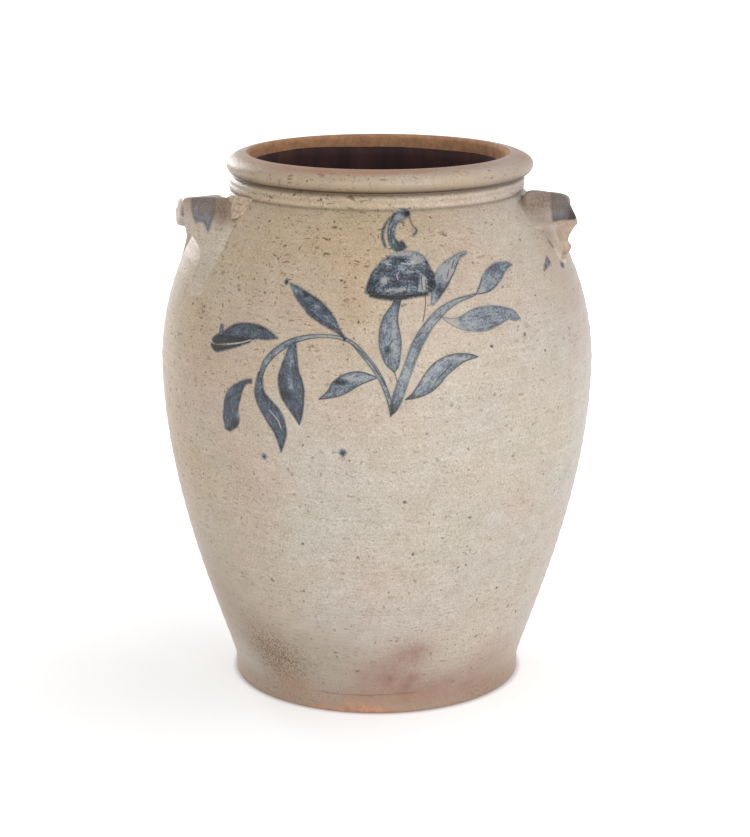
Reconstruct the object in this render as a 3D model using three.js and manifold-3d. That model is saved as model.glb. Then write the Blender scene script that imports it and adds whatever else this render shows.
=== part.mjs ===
// A wheel-thrown stoneware crock with two ear handles, a poured slip lining
// and a flowering sprig brushed in cobalt slip.
// Millimetres, +Z up, the sprig faces -Y, the base rests on Z = 0.
import * as THREE from "three";
import { mergeVertices } from "three/addons/utils/BufferGeometryUtils.js";
import Module from "manifold-3d";

const wasm = await Module();
wasm.setup();

// Thrown body.
const height = 335; // base to the crest of the lip
const footRadius = 89.9;
const footHeight = 12; // plain band above the base before the wall swells
const footBevel = 1.4;
const bellyRadius = 135.4;
const bellyHeight = 207;
const neckRadius = 91.4;
const collarHeight = 25; // incised neck line up to the crest of the lip
const wallThickness = 9.2; // measured level, so a little less square to the wall
const floorThickness = 12;
const rimOverhang = 3.2; // how far the rolled rim stands out past the neck
const rimHeight = 11.4; // underside of the rim up to the crest of the lip
const lipWidth = 10.8; // crest of the lip in to the mouth, and out to the rim's shoulder
const cornerHeight = 12; // rounding between the inner wall and the floor
const cornerSweep = 14.5;
const roundSteps = 56;

// Slip lining.
const liningThickness = 0.6;
const liningDrop = 9; // bare clay left under the lip
const seatGap = 0.3; // clearance between pieces that touch

// Ear handles. A leg runs from the corner of the crown to the tip of its tail:
// bearings from the handle's middle, drops below the neck line, half widths and half thicknesses.
const handleReach = 125; // outermost radius of the crown
const crownWidth = 32;
const crownThickness = 13;
const crownHalfAngle = 5.5;
const crownDrop = 1.6; // top of the crown below the neck line
const leftTurn = 8; // degrees that each handle is set round from the sprig's left or right
const rightTurn = 2;
const leftTilt = 0.08; // fall of the crown towards its outer edge
const rightTilt = 0.22;
const wholeLeg = {
  corner: { angle: 11.5, inset: 2.2, drop: 13.3, width: 15.4, depth: 6.2 },
  bend: { angle: 15.3, inset: 1, drop: 18.7, width: 14.6, depth: 5.4 },
  foot: { angle: 21, lift: 1.4, drop: 30, width: 11.4, depth: 4.4 },
  tail: { angle: 22, lift: 0.4, drop: 45, width: 9.5, depth: 3.2 },
  tip: { angle: 22.5, lift: 0.2, drop: 60, width: 5, depth: 2.3 },
};
const brokenLeg = {
  corner: { angle: 15.5, inset: 1, drop: 11.5, width: 15.8, depth: 6.4 },
  bend: { angle: 19, inset: -2.5, drop: 17.5, width: 15.8, depth: 6 },
  foot: { angle: 23.5, lift: 2.2, drop: 28, width: 13.5, depth: 5 },
  tail: { angle: 24.5, lift: 0.5, drop: 35, width: 10.5, depth: 3.4 },
  tip: { angle: 25, lift: 0.2, drop: 42, width: 6, depth: 2.3 },
};
const chipSize = 10; // flake missing from the right handle's front leg
const chipAngle = -17;
const chipDrop = 25;
const ringPoints = 14;
const ringSharpness = 2.8; // 2 is an ellipse, more is squarer
const loftSteps = 30;

// Cobalt slip, laid on the wall as thin strokes.
const slipThickness = 0.5;
const strokeStep = 6; // longest facet along or across a stroke

const neckHeight = height - collarHeight;
const mouthRadius = neckRadius - lipWidth;
const liningTop = height - liningDrop;

const stoneware = new THREE.MeshStandardMaterial({ color: "#b3aa9d", roughness: 0.45 });
const slipBrown = new THREE.MeshStandardMaterial({ color: "#3a2620", roughness: 0.3 });
const cobalt = new THREE.MeshStandardMaterial({ color: "#56607a", roughness: 0.4 });

const group = new THREE.Group();
group.name = "stoneware_crock";

function point(radius, level) {
  return new THREE.Vector2(radius, level);
}

function addMesh(name, geometry, material) {
  const mesh = new THREE.Mesh(geometry, material);
  mesh.name = name;
  group.add(mesh);
}

// Points of a curve without its first one, so that curves chain end to end.
function follow(curve, steps) {
  return curve.getPoints(steps).slice(1);
}

// A polyline moved sideways to its left by a distance, square to its own direction.
function offsetLine(points, distance) {
  return points.map((p, i) => {
    const before = points[Math.max(i - 1, 0)];
    const after = points[Math.min(i + 1, points.length - 1)];
    const along = after.clone().sub(before).normalize();
    return point(Math.max(p.x - along.y * distance, 0), p.y + along.x * distance);
  });
}

// Outer wall from the foot bevel up to the neck line.
const foot = point(footRadius, footBevel);
const swell = point(footRadius + 0.9, footHeight);
const belly = point(bellyRadius, bellyHeight);
const neck = point(neckRadius, neckHeight);
const lowerRise = bellyHeight - footHeight;
const upperRise = neckHeight - bellyHeight;
const lowerWall = new THREE.CubicBezierCurve(
  swell,
  point(swell.x + lowerRise * 0.036, swell.y + lowerRise * 0.127),
  point(bellyRadius, bellyHeight - lowerRise * 0.414),
  belly,
);
const upperWall = new THREE.CubicBezierCurve(
  belly,
  point(bellyRadius, bellyHeight + upperRise * 0.094),
  point(neckRadius + (bellyRadius - neckRadius) * 0.937, neckHeight - upperRise * 0.342),
  neck,
);
const outerWall = [foot, swell, ...follow(lowerWall, 9), ...follow(upperWall, 12)];

// Collar of two beads over the incised line, the groove above them and the rolled rim.
const incised = point(neckRadius - 1, neckHeight + 1.2);
const beadValley = point(neckRadius - 1, neckHeight + 6);
const groove = point(neckRadius - 3, neckHeight + 10);
const rimUnder = point(neckRadius + 1.4, height - rimHeight);
const rimShoulder = point(neckRadius, height - 2.4);
const crest = point(mouthRadius + 2.9, height);
const lipInside = point(mouthRadius, height - 2.8);
const rimReach = neckRadius + rimOverhang * 1.28;
const lowerBulge = point(neckRadius + 1.2, neckHeight + 3.6);
const upperBulge = point(neckRadius + 0.9, neckHeight + 8);
const lowerBead = new THREE.QuadraticBezierCurve(incised, lowerBulge, beadValley);
const upperBead = new THREE.QuadraticBezierCurve(beadValley, upperBulge, groove);
const collar = [
  incised,
  ...follow(lowerBead, 3),
  ...follow(upperBead, 3),
  rimUnder,
  ...follow(
    new THREE.CubicBezierCurve(
      rimUnder,
      point(rimReach, height - rimHeight + 1),
      point(rimReach, height - 4.4),
      rimShoulder,
    ),
    5,
  ),
  ...follow(new THREE.QuadraticBezierCurve(rimShoulder, point(neckRadius - 3.9, height - 0.1), crest), 2),
  ...follow(new THREE.QuadraticBezierCurve(crest, point(mouthRadius, height), lipInside), 3),
];

// Inner wall from under the lining's top edge down to the middle of the floor.
const innerNeck = point(mouthRadius, neckHeight + 4);
const innerShoulder = point(mouthRadius + 0.9, neckHeight - 7.5);
const innerBelly = point(bellyRadius - wallThickness, bellyHeight);
const cornerTop = point(swell.x - wallThickness - 1.4, floorThickness + cornerHeight);
const cornerFoot = point(cornerTop.x - cornerSweep, floorThickness);
const innerUpper = new THREE.CubicBezierCurve(
  innerShoulder,
  point(innerShoulder.x + (innerBelly.x - innerShoulder.x) * 0.9, innerShoulder.y - upperRise * 0.34),
  point(innerBelly.x, bellyHeight + upperRise * 0.09),
  innerBelly,
);
const innerLower = new THREE.CubicBezierCurve(
  innerBelly,
  point(innerBelly.x, bellyHeight - lowerRise * 0.4),
  point(cornerTop.x + lowerRise * 0.04, cornerTop.y + lowerRise * 0.12),
  cornerTop,
);
const cornerTurn = point(cornerTop.x - 3, floorThickness);
const innerCorner = new THREE.QuadraticBezierCurve(cornerTop, cornerTurn, cornerFoot);
const innerWall = [
  point(mouthRadius, liningTop),
  innerNeck,
  innerShoulder,
  ...follow(innerUpper, 5),
  ...follow(innerLower, 5),
  ...follow(innerCorner, 3),
  point(0, floorThickness),
];

// A profile turned about the pot's axis.
function turned(points) {
  const geometry = new THREE.LatheGeometry(points, roundSteps);
  geometry.rotateX(Math.PI / 2);
  return geometry;
}

addMesh(
  "thrown_body",
  turned([point(0, 0), point(footRadius - footBevel, 0), ...outerWall, ...collar, ...innerWall]),
  stoneware,
);

const liningBack = offsetLine(innerWall, -seatGap);
const liningFace = offsetLine(innerWall, -seatGap - liningThickness);
addMesh("slip_lining", turned([...liningBack.reverse(), ...liningFace]), slipBrown);

// Radius and outward slope of the outer wall at a level, read along its polyline.
function wallAt(level) {
  const last = outerWall.length - 2;
  let i = 0;
  while (i < last && outerWall[i + 1].y < level) i += 1;
  const low = outerWall[i];
  const high = outerWall[i + 1];
  const part = (level - low.y) / (high.y - low.y);
  const along = high.clone().sub(low).normalize();
  return { radius: low.x + (high.x - low.x) * part, outward: along.y, upward: -along.x };
}

// Unit directions at a bearing from +X: out from the axis, round the wall and up.
function directions(degrees) {
  const turn = THREE.MathUtils.degToRad(degrees);
  return {
    out: new THREE.Vector3(Math.cos(turn), Math.sin(turn), 0),
    round: new THREE.Vector3(-Math.sin(turn), Math.cos(turn), 0),
    up: new THREE.Vector3(0, 0, 1),
  };
}

// A vector from its outward, round-the-wall and upward shares, scaled to a length.
function blend(d, [out, round, up], length) {
  return new THREE.Vector3()
    .addScaledVector(d.out, out)
    .addScaledVector(d.round, round)
    .addScaledVector(d.up, up)
    .setLength(length);
}

// One half of an ear handle as strap stations, from the middle of the crown down a leg.
// Each has a centre, a half width that swings from outwards to along the wall,
// and a half thickness that swings from upwards to square off the wall.
function earHalf(tilt, leg) {
  const crownRadius = handleReach - crownWidth / 2;
  const crownLevel = neckHeight - crownDrop - crownThickness / 2;
  const flatTop = (degrees, droop) => {
    const d = directions(degrees);
    return {
      centre: d.out.clone().multiplyScalar(crownRadius).setZ(crownLevel - droop),
      width: blend(d, [1, 0, -tilt], crownWidth / 2),
      depth: blend(d, [tilt, droop * 0.12, 1], crownThickness / 2),
    };
  };
  const folded = (size, acrossShares, outwardShares) => {
    const d = directions(size.angle);
    return {
      centre: d.out.clone().multiplyScalar(crownRadius - size.inset).setZ(neckHeight - size.drop),
      width: blend(d, acrossShares, size.width),
      depth: blend(d, outwardShares, size.depth),
    };
  };
  const pressed = (size) => {
    const d = directions(size.angle);
    const wall = wallAt(neckHeight - size.drop);
    return {
      centre: d.out.clone().multiplyScalar(wall.radius + size.lift).setZ(neckHeight - size.drop),
      width: blend(d, [0.12, -1, -0.25], size.width),
      depth: blend(d, [wall.outward, 0, wall.upward], size.depth),
    };
  };
  return [
    flatTop(0, 0),
    flatTop(crownHalfAngle, 1),
    folded(leg.corner, [0.73, -0.66, -0.13], [0.54, 0.46, 0.7]),
    folded(leg.bend, [0.6, -0.8, -0.06], [0.73, 0.52, 0.43]),
    pressed(leg.foot),
    pressed(leg.tail),
    pressed(leg.tip),
  ];
}

function mirrored(station) {
  const flip = new THREE.Vector3(1, -1, 1);
  return {
    centre: station.centre.clone().multiply(flip),
    width: station.width.clone().multiply(flip),
    depth: station.depth.clone().multiply(flip),
  };
}

// A closed strap lofted through squarish rings, with a fan over each end.
function strap(stations) {
  const curves = ["centre", "width", "depth"].map(
    (key) => new THREE.CatmullRomCurve3(stations.map((s) => s[key]), false, "catmullrom", 0.5),
  );
  const positions = [];
  const index = [];
  for (let i = 0; i <= loftSteps; i += 1) {
    const [centre, width, depth] = curves.map((curve) => curve.getPoint(i / loftSteps));
    for (let k = 0; k < ringPoints; k += 1) {
      const turn = (k / ringPoints) * Math.PI * 2;
      const squarish = (v) => Math.sign(v) * Math.abs(v) ** (2 / ringSharpness);
      const spot = centre
        .clone()
        .addScaledVector(width, squarish(Math.cos(turn)))
        .addScaledVector(depth, squarish(Math.sin(turn)));
      positions.push(spot.x, spot.y, spot.z);
    }
  }
  for (let i = 0; i < loftSteps; i += 1) {
    for (let k = 0; k < ringPoints; k += 1) {
      const a = i * ringPoints + k;
      const b = i * ringPoints + ((k + 1) % ringPoints);
      index.push(b, a, a + ringPoints, b, a + ringPoints, b + ringPoints);
    }
  }
  for (const [ring, reverse] of [[0, false], [loftSteps, true]]) {
    for (let k = 1; k < ringPoints - 1; k += 1) {
      const [p, q, r] = [0, k, k + 1].map((n) => ring * ringPoints + n);
      index.push(p, reverse ? r : q, reverse ? q : r);
    }
  }
  const geometry = new THREE.BufferGeometry();
  geometry.setAttribute("position", new THREE.Float32BufferAttribute(positions, 3));
  geometry.setIndex(index);
  return geometry;
}

function solidFrom(geometry) {
  const bare = geometry.clone();
  bare.deleteAttribute("normal");
  bare.deleteAttribute("uv");
  const merged = mergeVertices(bare.index ? bare.toNonIndexed() : bare, 1e-3);
  const mesh = new wasm.Mesh({
    numProp: 3,
    vertProperties: merged.attributes.position.array,
    triVerts: new Uint32Array(merged.index.array),
  });
  return new wasm.Manifold(mesh);
}

function geometryFrom(solid) {
  const mesh = solid.getMesh();
  const geometry = new THREE.BufferGeometry();
  geometry.setAttribute("position", new THREE.Float32BufferAttribute(mesh.vertProperties, 3));
  geometry.setIndex([...mesh.triVerts]);
  return geometry;
}

// The wall grown by the seat gap and filled to the axis, to shape each handle's seat.
const seatWall = offsetLine([...outerWall, incised], -seatGap);
const seatTop = seatWall[seatWall.length - 1];
const seat = solidFrom(turned([point(0, 0), point(footRadius, 0), ...seatWall, point(0, seatTop.y)]));

// One ear at +X, its front leg towards -Y, with its seat shaped to the wall.
function ear(tilt, frontLeg) {
  const backHalf = earHalf(tilt, wholeLeg);
  const frontHalf = earHalf(tilt, frontLeg).slice(1).reverse().map(mirrored);
  return solidFrom(strap([...frontHalf, ...backHalf])).subtract(seat);
}

// Rough hollow where the right handle lost a flake from its front leg.
const chip = new THREE.IcosahedronGeometry(chipSize, 1);
chip.scale(0.8, 0.6, 1.4);
const chipSpot = directions(chipAngle).out.multiplyScalar(handleReach);
chip.translate(chipSpot.x, chipSpot.y - chipSize * 0.8, neckHeight - chipDrop);

const leftEar = ear(leftTilt, wholeLeg).rotate([0, 0, 180 + leftTurn]);
const rightEar = ear(rightTilt, brokenLeg).subtract(solidFrom(chip)).rotate([0, 0, rightTurn]);
addMesh("handle_left", geometryFrom(leftEar), stoneware);
addMesh("handle_right", geometryFrom(rightEar), stoneware);

// A spot on the wall: distance round from the front at belly size, level, height off the wall.
function onWall(spot, lift) {
  const wall = wallAt(spot.y);
  const d = directions(-90 + THREE.MathUtils.radToDeg(spot.x / bellyRadius));
  return d.out
    .clone()
    .multiplyScalar(wall.radius + wall.outward * lift)
    .setZ(spot.y + wall.upward * lift);
}

// Half width along a stroke, as a share of its widest, from its start to its end.
const strokeShapes = {
  leaf: (t) => Math.max(Math.sin(Math.PI * t ** 0.85) ** 0.8, 0.12),
  stem: (t) => 1 - 0.75 * t,
  bell: (t) => Math.sqrt(Math.max(1 - t * t, 0.02)),
  bud: (t) => Math.max(Math.sin(Math.PI * t), 0.2),
};

// A thin curved plate along a brushed path, gridded finely enough to follow the round wall.
function stroke(path, width, shape) {
  const spots = path.map(([round, drop]) => point(round, neckHeight - drop));
  const spine = new THREE.SplineCurve(spots);
  const steps = Math.ceil(spine.getLength() / strokeStep);
  const columns = 1 + 2 * Math.ceil(width / 2 / strokeStep);
  const positions = [];
  const index = [];
  for (let i = 0; i <= steps; i += 1) {
    const t = i / steps;
    const spot = spine.getPoint(t);
    const along = spine.getTangent(t);
    const half = (width / 2) * strokeShapes[shape](t);
    for (const lift of [seatGap, seatGap + slipThickness]) {
      for (let k = 0; k < columns; k += 1) {
        const aside = half * ((2 * k) / (columns - 1) - 1);
        const edge = point(spot.x - along.y * aside, spot.y + along.x * aside);
        positions.push(...onWall(edge, lift).toArray());
      }
    }
  }
  const across = [...Array(columns).keys()];
  const ring = [...across, ...across.map((k) => 2 * columns - 1 - k)];
  for (let i = 0; i < steps; i += 1) {
    for (let k = 0; k < ring.length; k += 1) {
      const a = i * ring.length + ring[k];
      const b = i * ring.length + ring[(k + 1) % ring.length];
      index.push(a, b, a + ring.length, b, b + ring.length, a + ring.length);
    }
  }
  for (let k = 0; k < columns - 1; k += 1) {
    const [a, b, c, d] = [k, k + 1, columns + k + 1, columns + k];
    const end = steps * ring.length;
    index.push(c, b, a, d, c, a);
    index.push(end + a, end + b, end + c, end + a, end + c, end + d);
  }
  const geometry = new THREE.BufferGeometry();
  geometry.setAttribute("position", new THREE.Float32BufferAttribute(positions, 3));
  geometry.setIndex(index);
  return geometry;
}

// Each stroke of the sprig: path as distance round from the front and drop below the neck line.
const stems = {
  stem_left: { width: 6, path: [[5, 106], [0, 86], [-12, 70], [-31, 65], [-50, 68], [-65, 77], [-73, 92]] },
  stem_right: { width: 7, path: [[12.5, 101], [19, 78], [28, 62], [41, 50], [61, 44.5]] },
};
const leaves = {
  leaf_far_left: { width: 12, path: [[-109, 76], [-88, 69], [-64, 67]] },
  leaf_low_left: { width: 8, path: [[-80, 95], [-91, 106], [-95, 126]] },
  leaf_drooping: { width: 7, path: [[-75, 98], [-70, 113], [-57, 133]] },
  leaf_hanging: { width: 13, path: [[-51.5, 73], [-52.5, 90], [-46, 117]] },
  leaf_upper_left: { width: 10, path: [[-61, 36], [-42, 47], [-21, 61.5]] },
  leaf_mid_low: { width: 10, path: [[-32, 100], [-20, 90], [-7, 87]] },
  leaf_under_bell: { width: 10, path: [[12, 46], [7, 64], [11, 88]] },
  leaf_low_right: { width: 9, path: [[20, 99], [39, 84], [63, 78]] },
  leaf_right: { width: 13, path: [[43, 56], [66, 54], [95, 61]] },
  leaf_upper_right: { width: 9, path: [[67, 42], [81, 33], [100, 30]] },
  leaf_behind_bell: { width: 8, path: [[46, 34], [54, 26], [66, 21]] },
};
const bells = {
  bell_flower: { width: 46, path: [[17, 42], [17, 30], [17, 18.5]] },
};
const buds = {
  bud_over_bell: { width: 6, path: [[21, 4.5], [11, 6], [9, 12], [16, 16]] },
};
for (const [shape, set] of Object.entries({ stem: stems, leaf: leaves, bell: bells, bud: buds })) {
  for (const [name, { width, path }] of Object.entries(set)) {
    addMesh(`cobalt_${name}`, stroke(path, width, shape), cobalt);
  }
}

export default group;
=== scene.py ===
import math

import bpy
import numpy as np
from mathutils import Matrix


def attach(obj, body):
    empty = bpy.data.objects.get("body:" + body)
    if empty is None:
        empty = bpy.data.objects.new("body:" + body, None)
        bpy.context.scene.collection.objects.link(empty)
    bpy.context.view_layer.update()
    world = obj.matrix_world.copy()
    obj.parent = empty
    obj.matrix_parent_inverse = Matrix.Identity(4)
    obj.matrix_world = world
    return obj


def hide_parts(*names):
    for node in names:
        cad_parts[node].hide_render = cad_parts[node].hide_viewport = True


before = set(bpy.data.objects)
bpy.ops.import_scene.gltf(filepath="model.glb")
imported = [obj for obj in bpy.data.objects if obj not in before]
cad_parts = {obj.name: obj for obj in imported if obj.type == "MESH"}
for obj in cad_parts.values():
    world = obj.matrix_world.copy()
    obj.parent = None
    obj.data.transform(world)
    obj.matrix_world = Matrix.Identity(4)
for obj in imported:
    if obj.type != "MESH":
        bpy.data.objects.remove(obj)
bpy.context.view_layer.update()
scene = bpy.context.scene
scene.view_settings.view_transform = "Standard"
print("frame loaded:", len(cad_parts), "nodes")


def linear(hexTone):  # sRGB hex to linear, the one colour conversion
    srgb = np.array([int(hexTone[i:i + 2], 16) for i in (1, 3, 5)]) / 255
    flat = np.where(srgb <= 0.04045, srgb / 12.92, ((srgb + 0.055) / 1.055) ** 2.4)
    return (*flat.tolist(), 1.0)


def addNode(tree, kind, inputs=None, **settings):  # one node, its settings and what feeds it
    node = tree.nodes.new(kind)
    for key, value in settings.items():
        setattr(node, key, value)
    for name, value in (inputs or {}).items():
        plug = node.inputs[name] if isinstance(name, int) else next(
            s for s in node.inputs if s.enabled and s.name == name)
        if isinstance(value, bpy.types.Node):
            value = next(s for s in value.outputs if s.enabled)
        if isinstance(value, bpy.types.NodeSocket):
            tree.links.new(value, plug)
        else:
            plug.default_value = value
    return node


def newMaterial(name):
    material = bpy.data.materials.new(name)
    material.use_nodes = True
    material.node_tree.nodes.clear()
    return material, material.node_tree


# The nodes that the materials use most, each with what feeds it.
def ramp(tree, value, low, high, start=0.0, end=1.0, **settings):  # low to high becomes start to end
    return addNode(tree, "ShaderNodeMapRange", {"Value": value, "From Min": low, "From Max": high,
                                                "To Min": start, "To Max": end}, **settings)


def maths(tree, operation, *values, **settings):
    return addNode(tree, "ShaderNodeMath", dict(enumerate(values)), operation=operation, **settings)


def vectorMaths(tree, operation, *values):
    return addNode(tree, "ShaderNodeVectorMath", dict(enumerate(values)), operation=operation)


def scaled(tree, vector, factor):
    return addNode(tree, "ShaderNodeVectorMath", {0: vector, "Scale": factor}, operation="SCALE")


def mixTone(tree, share, start, end):
    return addNode(tree, "ShaderNodeMix", {"Factor": share, "A": start, "B": end}, data_type="RGBA")


def noiseIn(tree, place, size, detail):  # size in mm where the place is
    return addNode(tree, "ShaderNodeTexNoise", {"Vector": place, "Scale": 1 / size, "Detail": detail})


def swing(tree, value, reach):  # noise turned to lie evenly about zero
    return maths(tree, "MULTIPLY_ADD", value, reach, -reach / 2)


def objectPlace(tree):
    return addNode(tree, "ShaderNodeTexCoord").outputs["Object"]


# Bezier of any degree: each control point weighted by its Bernstein polynomial.
def bezier(points, steps):
    points = np.array(points, float)
    degree = len(points) - 1
    t = np.linspace(0, 1, steps)[:, None]
    return sum(math.comb(degree, k) * t ** k * (1 - t) ** (degree - k) * points[k] for k in range(degree + 1))


# Catmull-Rom: a cubic between each pair of points whose slopes come from the neighbours, ends mirrored.
def through(points, steps):
    points = np.array(points, float)
    padded = np.vstack([2 * points[0] - points[1], points, 2 * points[-1] - points[-2]])
    t = np.linspace(0, len(points) - 1, steps)
    i = np.minimum(t.astype(int), len(points) - 2)
    w = (t - i)[:, None]
    a, b, c, d = (padded[i + k] for k in range(4))
    return 0.5 * (2 * b + (c - a) * w + (2 * a - 5 * b + 4 * c - d) * w ** 2 + (3 * b - a - 3 * c + d) * w ** 3)


# Places along a line whose gaps follow the wanted step: the running sum of length over step, cut evenly.
def spaced(line, step):
    gaps = np.linalg.norm(np.diff(line, axis=0), axis=1)
    pace = np.append(0, np.cumsum(gaps / (step[1:] + step[:-1]) * 2))
    wanted = np.linspace(0, pace[-1], int(round(pace[-1])) + 1)
    return np.stack([np.interp(wanted, pace, line[:, k]) for k in range(line.shape[1])], -1)


def unit(vectors):
    return vectors / np.maximum(np.linalg.norm(vectors, axis=-1, keepdims=True), 1e-9)


def smoothStep(value, low, high):
    t = np.clip((value - low) / (high - low), 0, 1)
    return t * t * (3 - 2 * t)


# Soft-edged patches: each falls off as a bell curve of the distance round and up from its middle.
def patchField(across, height, patches):
    return 0 * height + sum(s * np.exp(-((across - a) / da) ** 2 - ((height - h) / dh) ** 2)
                            for a, h, da, dh, s in patches)


# Rows of points in mm, each joined round into a ring, with a fan of triangles shutting each end.
def tubePiece(name, rows, startPole, endPole, fields, material):
    count, around = rows.shape[:2]
    points = np.concatenate([rows.reshape(-1, 3), [startPole, endPole]]) / 1000
    row, col = np.meshgrid(np.arange(count - 1), np.arange(around), indexing="ij")
    here = row * around + col
    aside = row * around + (col + 1) % around
    quads = np.stack([here, aside, aside + around, here + around], -1).reshape(-1, 4)
    ring = np.arange(around)
    onward = np.roll(ring, -1)
    last = (count - 1) * around
    startFan = np.stack([np.full(around, count * around), onward, ring], -1)
    endFan = np.stack([np.full(around, count * around + 1), last + ring, last + onward], -1)
    mesh = bpy.data.meshes.new(name)
    mesh.from_pydata(points.tolist(), [], quads.tolist() + startFan.tolist() + endFan.tolist())
    mesh.polygons.foreach_set("use_smooth", np.ones(len(mesh.polygons), bool))
    for key, values in fields.items():
        values = np.broadcast_to(values, (count, around))
        ends = [values[0].mean(), values[-1].mean()]
        store = mesh.attributes.new(key, "FLOAT", "POINT")
        store.data.foreach_set("value", np.append(values.ravel(), ends).astype(np.float32))
    mesh.materials.append(material)
    piece = bpy.data.objects.new(name, mesh)
    scene.collection.objects.link(piece)
    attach(piece, "root")
    print(name, "points:", len(points), "faces:", len(mesh.polygons))
    return piece


# Salt-glazed stoneware: clay fired grey-tan, glazed by salt vapour. Gives a thin satin orange-peel skin with brown
# iron specks and short crawled dashes, warmer on the shoulder; cobalt slip lies under it, bare clay is matt and warm.
glaze = {
    "pale": "#d5cabf", "tan": "#c9b193", "olive": "#866a48", "mauve": "#9d7363", "rust": "#b3805c",
    # the last tone is the dark of the neck rings and the handles' patches: partly painted shade
    "speck": "#4d3729", "dash": "#72502f", "grimeAndShade": "#57463a",
    "bareBrown": "#c4926d", "bareOrange": "#cf9d80", "bareBuff": "#c4ae9a",
    "washPale": "#95a1ac", "washMid": "#54606f", "washDark": "#1b1e27", "halo": "#8d9a9b",
    # the pale cut tone also paints highlights on the lip's inner edge and down a handle's crown
    "cutDark": "#35302f", "cutPaleAndHighlight": "#ded4c8",
    "peelSize": 1.7, "gritSize": 1.0, "blotSize": 4.5, "mottleSize": 11, "cloudSize": 60,  # mm
    "streakSize": 1.2, "turningSize": 1.5, "peelDepth": 0.5, "bend": 8,  # mm
    "turningSqueeze": (0.03, 0.03, 1), "streakSqueeze": (0.16, 1.0, 1.0),  # turning lies level, streaks along a stroke
    "roughness": 0.42, "bareRoughness": 0.85, "tanDrift": 0.9, "middling": (0.3, 0.7),  # where most noise lies
    # tint at the low and high end of a noise
    "shading": [("mottle", (0.94, 0.93, 0.91), (1.05, 1.06, 1.07)), ("grit", (0.83, 0.78, 0.7), (1.15, 1.17, 1.2)),
                ("turning", (0.95, 0.95, 0.94), (1.04, 1.04, 1.05))],
    "cloudTint": (0.945, 0.11), "washTint": (0.8, 0.4),  # least and spread
    "bareShading": [("blot", 0.82, 1.14), ("grit", 0.85, 1.12)],
    # kind: cell in mm, its share of that along each axis, lean in radians, reach in cells, rarity,
    # strength on pale and on tan, colour
    "spots": {"pepper": (1.9, (1, 1, 1), 0, 0.28, 0.35, 0.45, 0.85, "dash"),
              "pinholes": (6.5, (1, 1, 1), 0, 0.18, 0.4, 1.0, 0.8, "speck"),
              "specks": (4.0, (1, 1, 1), 0, 0.28, 0.4, 0.5, 1.0, "speck"),
              "flatDashes": (6.0, (1, 1, 0.22), 0.08, 0.42, 0.4, 0.36, 1.0, "dash"),
              "uprightDashes": (7.0, (0.24, 0.24, 1), -0.12, 0.36, 0.5, 0.2, 1.0, "dash")},
    "spotEdge": (-0.05, 0.07), "faintest": 0.3,
    # edge: the noise that frays it, by how many mm, and where it starts and ends
    "fray": {"washEdge": ("grit", 1.8, -0.95, 0.5), "bareEdge": ("mottle", 4, -0.7, 0.7)},
    "washSwing": {"streak": 0.8, "blot": 0.9, "grit": 1.2}, "cutWidth": (0.14, 0.48), "cutStrength": (0.85, 0.7),
}


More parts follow.
